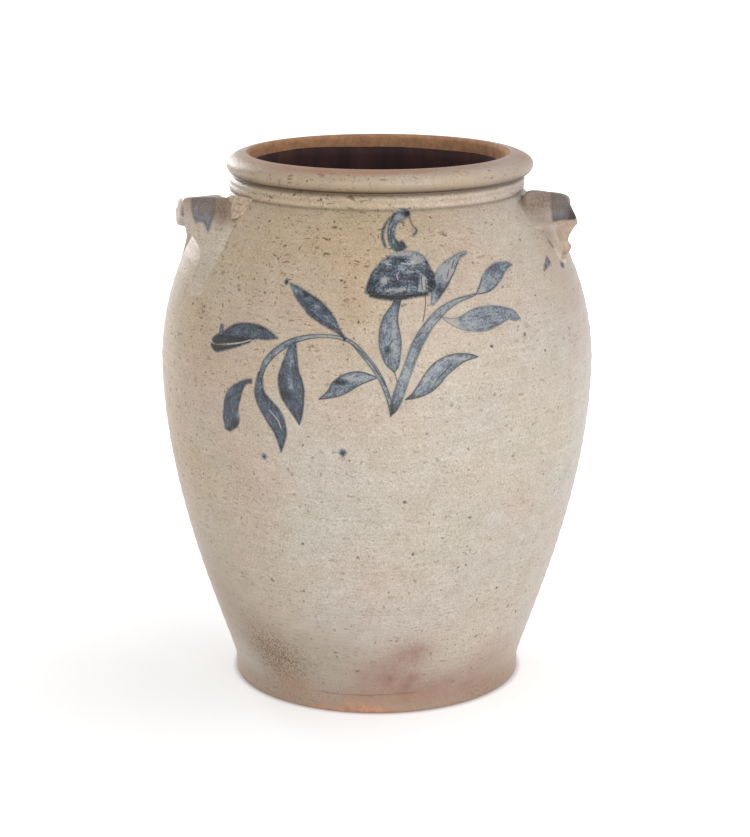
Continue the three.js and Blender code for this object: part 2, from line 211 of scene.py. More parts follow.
def stonewareMaterial():
    material, tree = newMaterial("saltGlazedStoneware")
    mm = scaled(tree, objectPlace(tree), 1000.0)
    tone = {key: linear(value) for key, value in glaze.items() if isinstance(value, str)}
    field = {key: addNode(tree, "ShaderNodeAttribute", attribute_name=key).outputs["Fac"] for key in plainFields}
    noise = {key: noiseIn(tree, mm, glaze[key + "Size"], detail)
             for key, detail in (("cloud", 2), ("mottle", 3), ("blot", 2), ("grit", 2), ("peel", 1))}
    level = addNode(tree, "ShaderNodeMapping", {"Vector": mm, "Scale": glaze["turningSqueeze"]})
    noise["turning"] = noiseIn(tree, level, glaze["turningSize"], 2)
    sweep = addNode(tree, "ShaderNodeCombineXYZ", {0: field["strokeAlong"], 1: field["strokeAcross"]})
    sweep = addNode(tree, "ShaderNodeMapping", {"Vector": sweep, "Scale": glaze["streakSqueeze"]})
    noise["streak"] = noiseIn(tree, sweep, glaze["streakSize"], 2)

    def tinted(paint, cloud, least, spread):  # colour shifted by a noise of its own in each channel
        tint = vectorMaths(tree, "MULTIPLY_ADD", noise[cloud].outputs["Color"], (spread,) * 3, (least,) * 3)
        return vectorMaths(tree, "MULTIPLY", paint, tint)

    # warm tan on the shoulder, breaking into the paler grey, with faint pink and green clouds
    warm = maths(tree, "ADD", field["tan"], swing(tree, noise["cloud"], glaze["tanDrift"]), use_clamp=True)
    skin = mixTone(tree, warm, tone["pale"], tone["tan"])
    for key, low, high in glaze["shading"]:
        share = ramp(tree, noise[key], *glaze["middling"])
        shade = addNode(tree, "ShaderNodeMix", {"Factor": share, "A": low, "B": high}, data_type="VECTOR")
        skin = vectorMaths(tree, "MULTIPLY", skin, shade)
    skin = tinted(skin, "cloud", *glaze["cloudTint"])

    # specks and dashes: cells whose seed lies near the skin, each with its own size, bent by noise so none is regular
    bend = vectorMaths(tree, "MULTIPLY_ADD", noise["mottle"].outputs["Color"], (glaze["bend"],) * 3, mm)
    layers = []  # what lies over the skin, as mask and colour
    for cell, squeeze, lean, reach, rare, onPale, onTan, paint in glaze["spots"].values():
        squeezed = addNode(tree, "ShaderNodeMapping", {"Vector": bend, "Scale": squeeze, "Rotation": (0, lean, 0)},
                           vector_type="TEXTURE")
        cells = addNode(tree, "ShaderNodeTexVoronoi", {"Vector": squeezed, "Scale": 1 / cell})
        luck = addNode(tree, "ShaderNodeSeparateColor", {0: cells.outputs["Color"]})
        size = ramp(tree, luck.outputs[0], rare, 1.0, glaze["spotEdge"][0], reach)
        spot = maths(tree, "SUBTRACT", size, cells.outputs["Distance"])
        share = ramp(tree, warm, 0.3, 1.0, onPale, onTan)
        force = ramp(tree, luck.outputs[1], 0.0, 1.0, glaze["faintest"])
        share = maths(tree, "MULTIPLY", share, force)
        layers.append((maths(tree, "MULTIPLY", ramp(tree, spot, *glaze["spotEdge"]), share), tone[paint]))

    # masks whose edges are set in mm and frayed by noise
    frayed = {}
    for key, (by, spread, low, high) in glaze["fray"].items():
        edge = maths(tree, "ADD", field[key], swing(tree, noise[by], spread))
        frayed[key] = ramp(tree, edge, low, high)
    blotch = ramp(tree, noise["mottle"], *glaze["middling"], 0.65, 1.2)
    speckle = ramp(tree, noise["grit"], 0.38, 0.62, 0.3, 1.5)
    stains = [(maths(tree, "MULTIPLY", field[key], by, use_clamp=True), tone[paint]) for key, by, paint in (
        ("kilnPatchAndShade", speckle, "olive"), ("blushAndShade", blotch, "mauve"), ("rust", blotch, "rust"))]

    # brushed cobalt: streaks run along each stroke, slip pools dark at its edges and bleeds a pale halo
    pool = ramp(tree, field["washEdge"], 0.1, 1.5, 0.22, 0.0)
    depth = maths(tree, "ADD", field["washDepth"], pool)
    for key, reach in glaze["washSwing"].items():
        part = maths(tree, "MULTIPLY", swing(tree, noise[key], reach), field["washFleck"])
        depth = maths(tree, "ADD", depth, part)
    blue = mixTone(tree, ramp(tree, depth, 0.0, 0.5), tone["washPale"], tone["washMid"])
    blue = mixTone(tree, ramp(tree, depth, 0.5, 1.0), blue, tone["washDark"])
    blue = tinted(blue, "blot", *glaze["washTint"])
    wash = maths(tree, "MULTIPLY", frayed["washEdge"], ramp(tree, depth, -0.35, 0.3, 0.15, 0.97))
    halo = ramp(tree, field["washEdge"], -1.6, 0.2, 0.0, 0.4)

    # lines cut into the wet clay with a point: dark where slip ran in, pale where it cut through the slip
    # the pale tone also paints highlights: along the lip's inner edge and down the left handle's crown
    darkCut, paleCutAndHighlight = (ramp(tree, field[key], *glaze["cutWidth"], strength, 0.0)
                        for key, strength in zip(("cutGap", "paleAndHighlightGap"), glaze["cutStrength"]))

    # bare clay: brown inside the lip, orange at the foot, buff in a break
    bare = mixTone(tree, ramp(tree, field["bareTone"], 0.0, 0.5), tone["bareBrown"], tone["bareOrange"])
    bare = mixTone(tree, ramp(tree, field["bareTone"], 0.5, 1.0), bare, tone["bareBuff"])
    for key, low, high in glaze["bareShading"]:
        bare = scaled(tree, bare, ramp(tree, noise[key], *glaze["middling"], low, high))

    # the dark layer paints shade under the rim's roll, between the beads and on the handles
    layers += [(halo, tone["halo"]), (wash, blue), *stains, (field["grimeAndShade"], tone["grimeAndShade"]),
               (paleCutAndHighlight, tone["cutPaleAndHighlight"]), (darkCut, tone["cutDark"]), (frayed["bareEdge"], bare)]
    for mask, paint in layers:
        skin = mixTone(tree, mask, skin, paint)
    gloss = ramp(tree, frayed["bareEdge"], 0.0, 1.0, glaze["roughness"], glaze["bareRoughness"])
    ground = maths(tree, "SUBTRACT", noise["peel"], darkCut)
    bump = addNode(tree, "ShaderNodeBump", {"Height": ground, "Strength": 0.5, "Distance": glaze["peelDepth"] / 1000})
    shader = addNode(tree, "ShaderNodeBsdfPrincipled", {"Base Color": skin, "Roughness": gloss, "Normal": bump})
    addNode(tree, "ShaderNodeOutputMaterial", {"Surface": shader})
    return material


# what every glazed piece stores at its points; edges and gaps are mm, edges positive inside
plainFields = {"washEdge": -20.0, "washDepth": 0.5, "washFleck": 1.0, "strokeAlong": 0.0, "strokeAcross": 0.0,
               "cutGap": 20.0, "paleAndHighlightGap": 20.0, "bareEdge": -20.0, "bareTone": 0.5,
               "tan": 0.0, "kilnPatchAndShade": 0.0, "blushAndShade": 0.0, "rust": 0.0, "grimeAndShade": 0.0}
stoneware = stonewareMaterial()

# Thrown body: profile curves from the middle of the base, up the outside, over the lip and down the inside.
# Each has the gap between rows at its start and end, then its control points (radius, height), in mm.
body = {
    "profile": [
        (20, 8, [(12, 0), (89.6, 0)]),
        (0.7, 0.7, [(89.6, 0), (90.8, 0.3), (91.1, 1.4)]),
        (2, 0.5, [(91.1, 1.4), (91.4, 11.4)]), (0.5, 0.5, [(91.4, 11.4), (91.6, 12)]),
        (0.5, 2.4, [(91.6, 12), (98.2, 36), (135.6, 121), (135.4, 207)]),
        (2.4, 1.6, [(135.4, 207), (135.4, 216.7), (132.6, 275.4), (91.2, 311.2)]),
        (0.6, 0.6, [(91.2, 311.2), (90.3, 312.3)]),
        (0.7, 0.7, [(90.3, 312.3), (92.4, 314.7), (90.6, 317.2)]),
        (0.7, 0.7, [(90.6, 317.2), (92.0, 319.2), (88.4, 321.3)]),
        (0.6, 0.6, [(88.4, 321.3), (89.4, 322.2)]),
        (0.6, 0.6, [(89.4, 322.2), (93, 322.6), (94.3, 325), (94.7, 327)]),
        (0.5, 0.5, [(94.7, 327), (95.1, 329.6), (92.8, 331.4)]),
        (0.7, 0.6, [(92.8, 331.4), (88.2, 334.6), (82.4, 335)]),
        (0.6, 0.6, [(82.4, 335), (79, 335), (79, 332.2)]),
        (2, 4, [(79, 332.2), (79.6, 314)]),
        (6, 12, [(79.6, 314), (81.5, 302.5)]),
        (12, 16, [(81.5, 302.5), (121.7, 267.5), (126.2, 216.3), (126.2, 207)]),
        (16, 12, [(126.2, 207), (126.2, 129), (88, 47.4), (80.2, 24)]),
        (6, 6, [(80.2, 24), (77.2, 12), (65.7, 12)]),
        (12, 20, [(65.7, 12), (12, 12)]),
    ],
    "bellyRadius": 135.4, "columnStep": 1.5,
    "ringWave": 9.0, "ringDepth": 0.12, "outOfRound": 0.35, "unevenFrom": (4, 40), "unevenTo": (300, 312),
    "rimAside": (2.0, 314, 326), "asideRadii": (72, 92), "mouthShare": 0.35,  # rim off centre, the mouth less than it
    # dark rings at the neck: the incised line, and painted shade under the rim's roll and between the beads
    "grooveShade": [(312.2, 0.8, 0.6), (317.4, 0.8, 0.12), (322, 1.4, 0.9), (323.6, 1.6, 0.25)],  # height, reach, darkness
    "underside": 0.4, "insideFrom": 60, "wellInside": 3, "lipBare": 337,  # bare clay, by height
    "footBare": (-6, 18, 8), "footSink": 2, "footSoftness": 0.3,  # degrees from front, reach round, height
    # the lip's pale line: worn glaze and a painted highlight on its inner edge
    "lipWearAndHighlight": (80.1, 334.7), "footLine": (-5, 20, 12.6), "footWave": (0.6, 7), "footFaint": 0.22, "lineSoftness": 0.6,
    # colour left by the firing, and in two entries painted shade: (degrees from front, height, reach round, reach up,
    # strength)
    "tan": [(-14, 298, 46, 62, 0.88), (-66, 200, 34, 130, 0.75), (15, 215, 40, 30, 0.25)],
    "kilnPatchAndShade": [(-60, 62, 15, 40, 0.27), (-46, 36, 11, 24, 0.38), (-37, 30, 11, 18, 0.44), (-20, 34, 22, 28, 0.36),
                  # the entry at 70 degrees, 268 high, darkens the shoulder's right edge: painted shade
                  (0, 0, 400, 14, 0.33), (50, 8, 22, 11, 0.25), (70, 268, 18, 50, 0.16), (0, 325.5, 500, 3.6, 0.34),
                  (-52, 332, 26, 3, 0.35), (64, 330, 20, 4, 0.2)],
    "blushAndShade": [(4, 28, 12, 13, 0.6), (13, 44, 8, 9, 0.6), (20, 17, 26, 13, 0.55), (48, 28, 16, 12, 0.35),
              # the entry at 70 degrees, 262 high, darkens the shoulder's right edge: painted shade
              (0, 8, 400, 9, 0.24), (70, 262, 18, 50, 0.16), (0, 334.5, 500, 2.4, 0.25), (5, 335, 50, 1.6, 0.5)],
    "rust": [(-6, 2, 400, 7, 0.22), (-34, 15, 8, 8, 0.45), (-66, 50, 9, 40, 0.2), (4, 11, 20, 5, 0.35),
             (56, 12, 16, 9, 0.25), (0, 335, 45, 1.9, 0.7), (80, 333, 12, 2.5, 0.7), (-40, 334, 40, 1.6, 0.4)],
}


# Radius of the outer wall at a level and the two shares of its normal, out and up, read from the profile.
def wallAt(level):
    wall = wallLine[:wallLine[:, 1].argmax()]
    slope = unit(np.gradient(wall, axis=0))
    return [np.interp(level, wall[:, 1], values) for values in (wall[:, 0], slope[:, 1], -slope[:, 0])]


# Throwing rings, a wave in height that leans round the wall, and the slight out-of-round of wheel and kiln.
def unevenness(angle, level):
    rings = body["ringDepth"] * np.sin(2 * np.pi * level / body["ringWave"] + 0.8 * np.sin(angle))
    oval = body["outOfRound"] * (np.sin(2 * angle + 0.7) + 0.5 * np.sin(3 * angle + level / 60))
    return (rings + oval) * smoothStep(level, *body["unevenFrom"]) * (1 - smoothStep(level, *body["unevenTo"]))


def firedFields(angle, level):
    fields = {key: np.full(level.shape, value) for key, value in plainFields.items()}
    for key in ("tan", "kilnPatchAndShade", "blushAndShade", "rust"):
        fields[key] = patchField(np.degrees(angle), level, body[key])
    # the neck's dark rings: painted shade under the rim's roll and between the beads, and the incised line
    fields["grimeAndShade"] = patchField(0, level, [(0, h, 1, dh, s) for h, dh, s in body["grooveShade"]])
    return fields


def rimAside(level):
    aside, lowest, highest = body["rimAside"]
    return aside * smoothStep(level, lowest, highest)


def profileLine():
    curves = [bezier(points, 120) for _, _, points in body["profile"]]
    steps = [np.linspace(startStep, endStep, 120) for startStep, endStep, _ in body["profile"]]
    return spaced(np.vstack(curves), np.concatenate(steps))


def makeBody():
    outside = (np.arange(len(wallLine)) <= wallLine[:, 1].argmax())[:, None]
    angle = np.radians(np.arange(-180, 180, body["columnStep"]))[None, :]
    angle, level = np.broadcast_arrays(angle, wallLine[:, 1:])
    reach = wallLine[:, :1] + unevenness(angle, level) * outside
    innermost, outermost = body["asideRadii"]
    aside = rimAside(level) * np.clip((reach - innermost) / (outermost - innermost), body["mouthShare"], 1)
    rows = np.stack([reach * np.sin(angle) + aside, -reach * np.cos(angle), level], -1)
    fields = firedFields(angle, level)
    for key in ("tan", "kilnPatchAndShade", "blushAndShade", "rust", "grimeAndShade"):
        fields[key] = fields[key] * outside
    at, spread, height = body["footBare"]
    bulge = height * np.exp(-((np.degrees(angle) - at) / spread) ** 2)
    foot = (bulge - body["footSink"] - level) * body["footSoftness"]
    foot = np.where(level < body["underside"], body["wellInside"], foot)
    inside = np.where(level > body["insideFrom"], body["lipBare"] - level, body["wellInside"])
    fields["bareEdge"] = np.where(outside, foot, inside)
    fields["bareTone"] = np.where(outside, 0.5, 0.0)
    # a pale line along the lip's inner edge: worn glaze and a painted highlight
    lip = np.hypot(wallLine[:, :1] - body["lipWearAndHighlight"][0], wallLine[:, 1:] - body["lipWearAndHighlight"][1])
    fields["paleAndHighlightGap"] = np.broadcast_to(lip * body["lineSoftness"], level.shape)
    at, spread, height = body["footLine"]
    ends = np.maximum(np.abs(np.degrees(angle) - at) - spread, 0)
    waver, waves = body["footWave"]
    gap = np.hypot(level - height - waver * np.sin(waves * angle), ends) * body["lineSoftness"] + body["footFaint"]
    fields["cutGap"] = np.where(outside, gap, plainFields["cutGap"])
    piece = tubePiece("thrownBody", rows, (0, 0, 0), (0, 0, 12), fields, stoneware)
    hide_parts("thrown_body")


wallLine = profileLine()
makeBody()

# Sprig strokes as two edges from root to tip: (mm round from the front at belly size, height in mm).
# depth is how dark the slip lies at the root, middle and tip; line, how plainly a point cut the outline first, if it
# did; inset, how far the slip stops short of it; fleck, how uneven the slip is; tones, darker or paler spots
# (round, height, reach, reach, strength); cuts and lights, lines drawn in it that filled dark or show pale.
sprig = {
    "stemLeft": {
        "over": [(8, 200.5), (8.4, 209), (2.9, 224), (-6.3, 236.2), (-17.5, 244.7), (-34, 246.4), (-50, 243.6),
                 (-62, 236.9), (-69.6, 228.6), (-72.3, 219)],
        "under": [(8, 200.5), (6, 209.5), (0.7, 222.5), (-8, 234), (-17.5, 243), (-34, 244.7), (-49.2, 240.8),
                  (-60.6, 233.4), (-67.4, 225.4), (-70, 217.5)],
        "depth": (0.25, -0.05, 0.3), "line": 0.9, "inset": 0.2,
        "tones": [(-31, 245, 12, 3, -0.3), (-58, 238, 8, 5, 0.1)],
        "cuts": [[(-14.7, 241.8), (-7.7, 235.9), (-1.9, 229.4), (2, 223.3), (5.8, 217.1)]]},
    "stemRight": {
        "over": [(7.9, 200.5), (9, 211.5), (15.1, 227.5), (22.4, 244.2), (35, 257.9), (49.1, 264.4), (65, 266.8)],
        "under": [(7.9, 200.5), (13, 206.5), (19.7, 224.1), (26.5, 239.3), (36.3, 252.4), (49.7, 261.8), (65, 266)],
        "depth": (0.4, 0.15, 0), "line": 0.75, "inset": 0.1,
        "tones": [(8.5, 203, 3, 4, 0.7), (26, 244, 6, 9, 0.25), (17, 226, 4, 6, -0.12)]},
    "leafFarLeft": {
        "over": [(-112, 235.5), (-108.6, 238.6), (-104, 240.6), (-97.4, 245), (-91.7, 247.5), (-83.6, 248.6),
                 (-74.4, 248.2), (-66.4, 245.6), (-61.2, 242.3)],
        "under": [(-112, 235.5), (-109.6, 233.8), (-106.4, 233.6), (-100.3, 234.9), (-94.2, 236), (-86, 237.8),
                  (-76, 240.4), (-68, 240.8), (-61.2, 242.3)],
        "depth": (0.95, 0.68, 0.8),
        "tones": [(-105, 236.5, 5, 3.5, 0.25), (-90, 238.6, 13, 1.3, 0.55), (-84, 244, 8, 2.5, -0.12)],
        "lights": [[(-98, 234.8), (-92, 235.9), (-86, 237.4), (-80, 239.6)]]},
    "bandFarLeft": {
        "over": [(-112.4, 233.4), (-107.1, 233.2), (-98, 234.3), (-90, 236.1), (-80, 239)],
        "under": [(-112.1, 231.8), (-106.7, 229.2), (-98, 231.6), (-90, 234.2), (-80, 238.3)],
        "depth": (1.15, 1.1, 0.8)},
    "spurFarLeft": {
        "over": [(-105.9, 245.2), (-106.2, 241.4), (-105.5, 238)],
        "under": [(-103.6, 245.2), (-102.6, 241.6), (-101.6, 238)],
        "depth": (0.7, 0.45, 0.5)},
    "leafLowLeft": {
        "over": [(-77, 217.2), (-81.7, 216.2), (-88.3, 213.1), (-94.1, 208.6), (-97.2, 203.6), (-98.8, 197),
                 (-99.6, 190.3), (-98.4, 184)],
        "under": [(-77, 215), (-81.5, 213.1), (-84.2, 208.3), (-85.6, 203.6), (-87.4, 197.4), (-86.4, 191.5),
                  (-88.6, 187), (-94.4, 183)],
        "depth": (0.75, 0.68, 0.7),
        "tones": [(-90.6, 188.4, 3, 2.6, 0.7), (-95.4, 184.2, 2, 1.6, 0.7), (-87, 194, 1.6, 3, -0.6),
                  (-95.5, 189, 3, 3, -0.25)],
        "cuts": [[(-82.6, 211.9), (-84.5, 207.5), (-86, 202.8), (-87.5, 197.5)],
                 [(-95.8, 202.2), (-92, 204.8), (-87.8, 207.5)]]},
    "leafDrooping": {
        "over": [(-72.4, 222), (-74.6, 212), (-73.4, 204.4), (-68.9, 196.8), (-64.2, 190.1), (-60.6, 184.1),
                 (-58, 175.5)],
        "under": [(-70, 221.6), (-68.6, 212), (-63, 205.9), (-57.8, 200.8), (-54.7, 193.9), (-54.2, 186),
                  (-58, 175.5)],
        "depth": (0.5, 0.6, 0.72), "line": 0.6,
        "tones": [(-68, 208.5, 2.2, 4, 0.4), (-64, 204, 2.5, 2.5, 0.25)],
        "lights": [[(-64.6, 200.4), (-62.2, 197.9), (-58.8, 194.2), (-57.4, 190.6)]]},
    "leafHanging": {
        "over": [(-52.3, 242.6), (-54, 236.1), (-57.8, 225.5), (-59, 220.2), (-58.3, 214.1), (-56.3, 208.2),
                 (-51, 201), (-45.6, 193.8)],
        "under": [(-49.4, 242.6), (-48.5, 237.3), (-46.4, 225.6), (-44.3, 220.6), (-42.7, 214.6), (-42.7, 208.5),
                  (-43.6, 200), (-45.6, 193.8)],
        "depth": (0.4, 0.66, 0.65), "line": 0.6,
        "tones": [(-53, 210.5, 3, 3, 0.5), (-51.2, 216.5, 1.8, 3.5, -0.55), (-56, 216, 2.5, 8, 0.18),
                  (-47, 226, 2, 6, 0.12), (-51, 229, 2, 3, -0.3)],
        "cuts": [[(-49.6, 233), (-47.7, 226.6), (-44.8, 220.6), (-43.3, 215), (-43.3, 205.2), (-45.4, 194)],
                 [(-54.1, 219.5), (-54.4, 215), (-54.2, 211)], [(-47.8, 198.9), (-45.6, 193.6)]]},
    "leafUpperLeft": {
        "over": [(-17.1, 243.9), (-21.8, 248.8), (-25.4, 255.2), (-30.6, 260.8), (-37, 265.3), (-44.6, 268.6),
                 (-52.6, 271.8), (-58.6, 273)],
        "under": [(-19.3, 243.2), (-23.6, 247.5), (-29.7, 250.1), (-36.6, 253.5), (-42.8, 256.9), (-46.2, 260),
                  (-52.2, 265.3), (-58.6, 273)],
        "depth": (0.55, 0.65, 0.4),
        "tones": [(-44, 268, 4, 1.4, 0.6), (-31, 260, 4, 3, 0.3), (-43.5, 262, 4, 2.5, 0.2),
                  (-37.5, 261.6, 2.6, 1.4, -0.5), (-31.8, 256.5, 2.4, 1.5, -0.45), (-52, 268.5, 4, 3, -0.1)],
        "cuts": [[(-22.3, 249.1), (-33.3, 253.9), (-41.8, 258.7), (-46.3, 263.2), (-51.6, 267.6)]]},
    "dotUpperLeft": {
        "over": [(-61.5, 275.2), (-62, 273.2), (-60.8, 272)],
        "under": [(-61.5, 275.2), (-59.6, 273.4), (-60.8, 272)],
        "depth": (0.8, 0.8, 0.8)},
    "leafMidLow": {
        "over": [(-0.5, 223.4), (-8.3, 226), (-14.4, 225.9), (-20.5, 223.6), (-25.7, 219.5), (-28.3, 214.6),
                 (-33.4, 209.6)],
        "under": [(-0.5, 222.6), (-10, 218.7), (-16.1, 214.7), (-22.1, 211.9), (-28.3, 210.5), (-33.4, 209.6)],
        "depth": (0.0, 0.35, 0.3), "line": 1, "inset": 0.2,
        "tones": [(-21.5, 219.8, 4, 1.4, 0.85), (-16, 222.5, 3, 1.2, -0.4), (-20, 216, 6, 1.2, 0.2)]},
    "leafUnderBell": {
        "over": [(11.3, 267), (9.6, 263.3), (4.5, 257.2), (1.9, 250.1), (1.4, 242.2), (2.7, 236.6), (5.1, 230.9),
                 (10.1, 226)],
        "under": [(15.6, 267), (13.1, 258.6), (12.8, 253.9), (13.9, 247.6), (14.4, 242), (13.8, 235.7),
                  (12.6, 229.5), (10.1, 226)],
        "depth": (0.42, 0.24, 0.35), "line": 0.85, "inset": 0.1,
        "tones": [(13.7, 261, 1.6, 5, 0.35), (10.5, 251, 1.6, 8, -0.3), (6, 238.5, 2, 2, 0.5),
                  (10.8, 240, 1.6, 4, -0.2)],
        "cuts": [[(9.4, 244.2), (7.4, 241), (5.9, 238.2)], [(10.1, 226.5), (11.8, 220.5)]]},
    "leafLowRight": {
        "over": [(16.6, 210.2), (20.8, 213.8), (25.1, 220), (29.5, 226.2), (34.8, 230.8), (42.1, 234),
                 (49.4, 234.7), (56.7, 233.7), (61.5, 231.9)],
        "under": [(16.6, 210.2), (24.1, 211.2), (30.9, 213.7), (36.1, 217.6), (41.5, 223), (47.1, 227.1),
                  (52.7, 230), (61.5, 231.9)],
        "depth": (0.42, 0.08, 0.25), "line": 1, "inset": 0.25,
        "tones": [(20, 211.4, 3, 1.2, 0.7), (38.5, 223.5, 4, 3, 0.45), (32, 217, 4, 3, 0.2), (44, 229, 3, 2, 0.35),
                  (28, 221, 3, 4, -0.2)],
        "cuts": [[(44.5, 229), (41.7, 226.8), (37.5, 223), (33.9, 218.8)]]},
    "leafRight": {
        "over": [(40.1, 255.7), (47.6, 254.4), (52.5, 255.2), (59.9, 258), (67.3, 259.3), (76.9, 259.2),
                 (85.4, 257.3), (91.7, 254.9), (96, 250)],
        "under": [(40.1, 255.7), (43.7, 252.7), (48.9, 249.6), (56.2, 247.1), (64.9, 245.9), (72.1, 246.5),
                  (78.7, 248.2), (86.5, 250.6), (91, 249.2), (96, 250)],
        "depth": (-0.25, 0.24, 0.2), "line": 0.6, "inset": 0.3,
        "tones": [(53, 253.6, 2, 2.5, 0.5), (46, 253, 4, 4, -0.4), (66, 252, 10, 3, 0.05)],
        "cuts": [[(49.4, 259.4), (50.2, 256.4)]]},
    "leafUpperRight": {
        "over": [(66.5, 266.8), (69.3, 270.6), (73.4, 275.7), (79.9, 279.8), (88.5, 281.8), (97.5, 281.2),
                 (101, 279.6)],
        "under": [(66.5, 266.8), (73.4, 266.9), (79.7, 268.5), (87.6, 272.9), (93.6, 277), (101, 279.6)],
        "depth": (0.02, 0.3, 0.3),
        "tones": [(88, 279, 8, 2, 0.2), (69, 268, 3, 2, -0.3)],
        "cuts": [[(73, 275.2), (69.5, 271), (67.2, 268), (65.4, 266.2)],
                 [(67.3, 266.4), (74.1, 267), (79.2, 268.7), (83, 270.6)]]},
    "leafBehindBell": {
        "over": [(34.4, 262.8), (35.6, 269.6), (37.5, 275.6), (40.4, 280), (45.5, 283.9), (51.8, 286.6),
                 (58.1, 288.6), (66, 289.6)],
        "under": [(35.4, 262.4), (39.7, 265.9), (45.4, 270.9), (49.4, 275.2), (54, 280.3), (58.3, 285.4),
                  (66, 288.8)],
        "depth": (0.45, 0.0, 0.18), "line": 0.3, "inset": 0,
        "tones": [(42, 270, 3.5, 3.5, 0.6), (47, 280, 4, 4, -0.2), (36.5, 264, 1.5, 1.5, -0.5)],
        "cuts": [[(58.1, 285.5), (52, 278.4), (45.7, 272.1), (39.5, 265.7)], [(55, 285.7), (51.7, 281.5)],
                 [(49.5, 281), (47, 276)]]},
    "bellFlower": {
        "over": [(-7.6, 269.6), (-6, 274.8), (-2.8, 280.9), (2.1, 285.4), (7.2, 288.3), (12.5, 290.3),
                 (19.8, 291.3), (28.2, 290.6), (33.9, 287.8), (36.8, 282.4), (39.8, 277), (41.6, 270.5)],
        "under": [(-7.6, 269.6), (-3, 269), (4.7, 268.8), (13.8, 268.6), (23.1, 269), (32.5, 269), (41.6, 270.5)],
        "depth": (0.85, 0.5, 0.8), "fleck": 1.6,
        "tones": [(5.4, 276.3, 2.6, 1.8, -1.5), (31.2, 275, 2.2, 3.2, -1.5), (-1.5, 281, 2, 3, -0.5),
                  (20, 281, 4, 1.6, -0.35), (16.5, 287.4, 4, 1.5, 0.8), (17, 290.6, 13, 1.6, -1.0),
                  (-3, 273, 4, 5, 0.2), (37, 274, 3.5, 4.5, 0.3), (27, 287, 6, 2.4, -1.0), (6, 285.6, 4, 2.5, -0.5),
                  (13, 271.2, 17, 1.5, -0.55), (30, 270.6, 3, 1.6, -0.4), (15, 277.5, 9, 3.5, 0.2)],
        "cuts": [[(1, 279), (3, 283.6)], [(33, 279), (34.4, 283.4)], [(25, 281), (28.4, 284.6)],
                 [(-2.4, 270), (-1, 276)], [(19, 270), (20.6, 275.4)], [(26.2, 271), (26.6, 278)],
                 [(29.4, 271), (29.8, 278.6)], [(32, 270.6), (32.2, 276)], [(7.4, 272), (7, 277)]],
        "lights": [[(14.7, 280.6), (13.4, 279), (14, 276.6)], [(6.4, 285), (10, 284.6)],
                   [(17, 285.3), (22, 284.8), (26, 286)]]},
    "bandUnderBell": {
        "over": [(-4.6, 269.4), (4.7, 268.9), (13.8, 268.7), (23.1, 269), (33, 269.4)],
        "under": [(-4.6, 267.6), (4.7, 266.2), (13.8, 265.8), (23.1, 266.9), (33, 267.8)],
        "depth": (1.0, 1.15, 1.0)},
    "scratchUnderBell": {
        "over": [(30.6, 268.6), (30.5, 265.2), (29.6, 260.3), (28, 253.5)],
        "under": [(31.4, 268.6), (31.3, 265.2), (30.4, 260.3), (28.6, 253.5)],
        "depth": (0.1, 0.0, 0.0), "inset": 3,
        "cuts": [[(31.1, 268.7), (31, 265.2), (30.1, 260.3), (28.2, 253.5)]]},
    "budOverBell": {
        "over": [(28.5, 312.6), (20, 313.2), (14, 310.3), (9.9, 305.8), (8.3, 301), (9, 296.2), (12, 292.4),
                 (17, 291.4), (22, 293.6)],
        "under": [(28.3, 309.4), (22.1, 307.7), (18.1, 306.4), (15.3, 304.3), (13.7, 301.4), (13.9, 298.4),
                  (16.3, 296.4), (19.2, 296.8), (22, 293.6)],
        "depth": (0.6, 0.35, 0.65),
        "tones": [(26.5, 311.2, 3, 2, 0.5), (19, 308.8, 4, 2, -0.45), (15, 294.5, 3, 1.5, 0.2)],
        "cuts": [[(15.4, 306.4), (12.2, 304), (10.8, 300.7), (10.8, 297.3), (11.8, 294)]]},
    "petalOverBell": {
        "over": [(11.6, 308.6), (7.4, 305), (5.4, 300.6), (5.6, 297.2), (7, 293.6)],
        "under": [(10.3, 308.3), (5.6, 304.6), (3.6, 300.3), (4, 296.9), (5.8, 293.5)],
        "depth": (0.6, 0.55, 0.3)},
    "curlOverBell": {
        "over": [(27.2, 308), (28.3, 304.9), (30.7, 302.8), (29.6, 300.7), (27.7, 300)],
        "under": [(27.8, 307.6), (29, 304.5), (31.6, 302.4), (30.2, 300.2), (27.9, 299.4)],
        "depth": (0.6, 1.0, 0.6)},
    "tickRight": {
        "over": [(143.2, 279.6), (138, 276.8), (131.6, 272.6)],
        "under": [(145.6, 275.6), (139.4, 274.2), (131.6, 272.6)],
        "depth": (0.3, 0.45, 0.4)},
    "dotRight": {
        "over": [(158, 271.5), (159.6, 272.6), (162, 273), (164.4, 272.6), (166, 271.5)],
        "under": [(158, 271.5), (159.6, 270.4), (162, 270), (164.4, 270.4), (166, 271.5)],
        "depth": (0.0, 0.1, 0.0),
        "tones": [(161.8, 271.5, 2.6, 1.2, 1.2)]},
    "dotLeft": {
        "over": [(-71.7, 171.2), (-69.8, 173), (-67.9, 171.2)],
        "under": [(-71.7, 171.2), (-69.8, 169.4), (-67.9, 171.2)],
        "depth": (0.0, 0.1, 0.0),
        "tones": [(-69.8, 171.2, 1.1, 1, 0.8)]},
    "dotMiddle": {
        "over": [(-22.3, 178.1), (-19.9, 180.4), (-17.5, 178.1)],
        "under": [(-22.3, 178.1), (-19.9, 175.8), (-17.5, 178.1)],
        "depth": (0.0, 0.1, 0.0),
        "tones": [(-19.9, 178.1, 1.4, 1.3, 0.9)]},
}
slip = {
    "grid": 0.55, "rowStretch": 1.414, "margin": 2.2, "thickness": 0.22, "sunk": 0.12, "buried": 0.8,  # mm
    "rise": (-1.6, -0.3), "cutReach": 0.2, "nearby": 7, "faint": 0.4, "streakShift": 170,  # mm
    "fieldSteps": 48, "edgeSteps": 160, "cutSteps": 24,
}


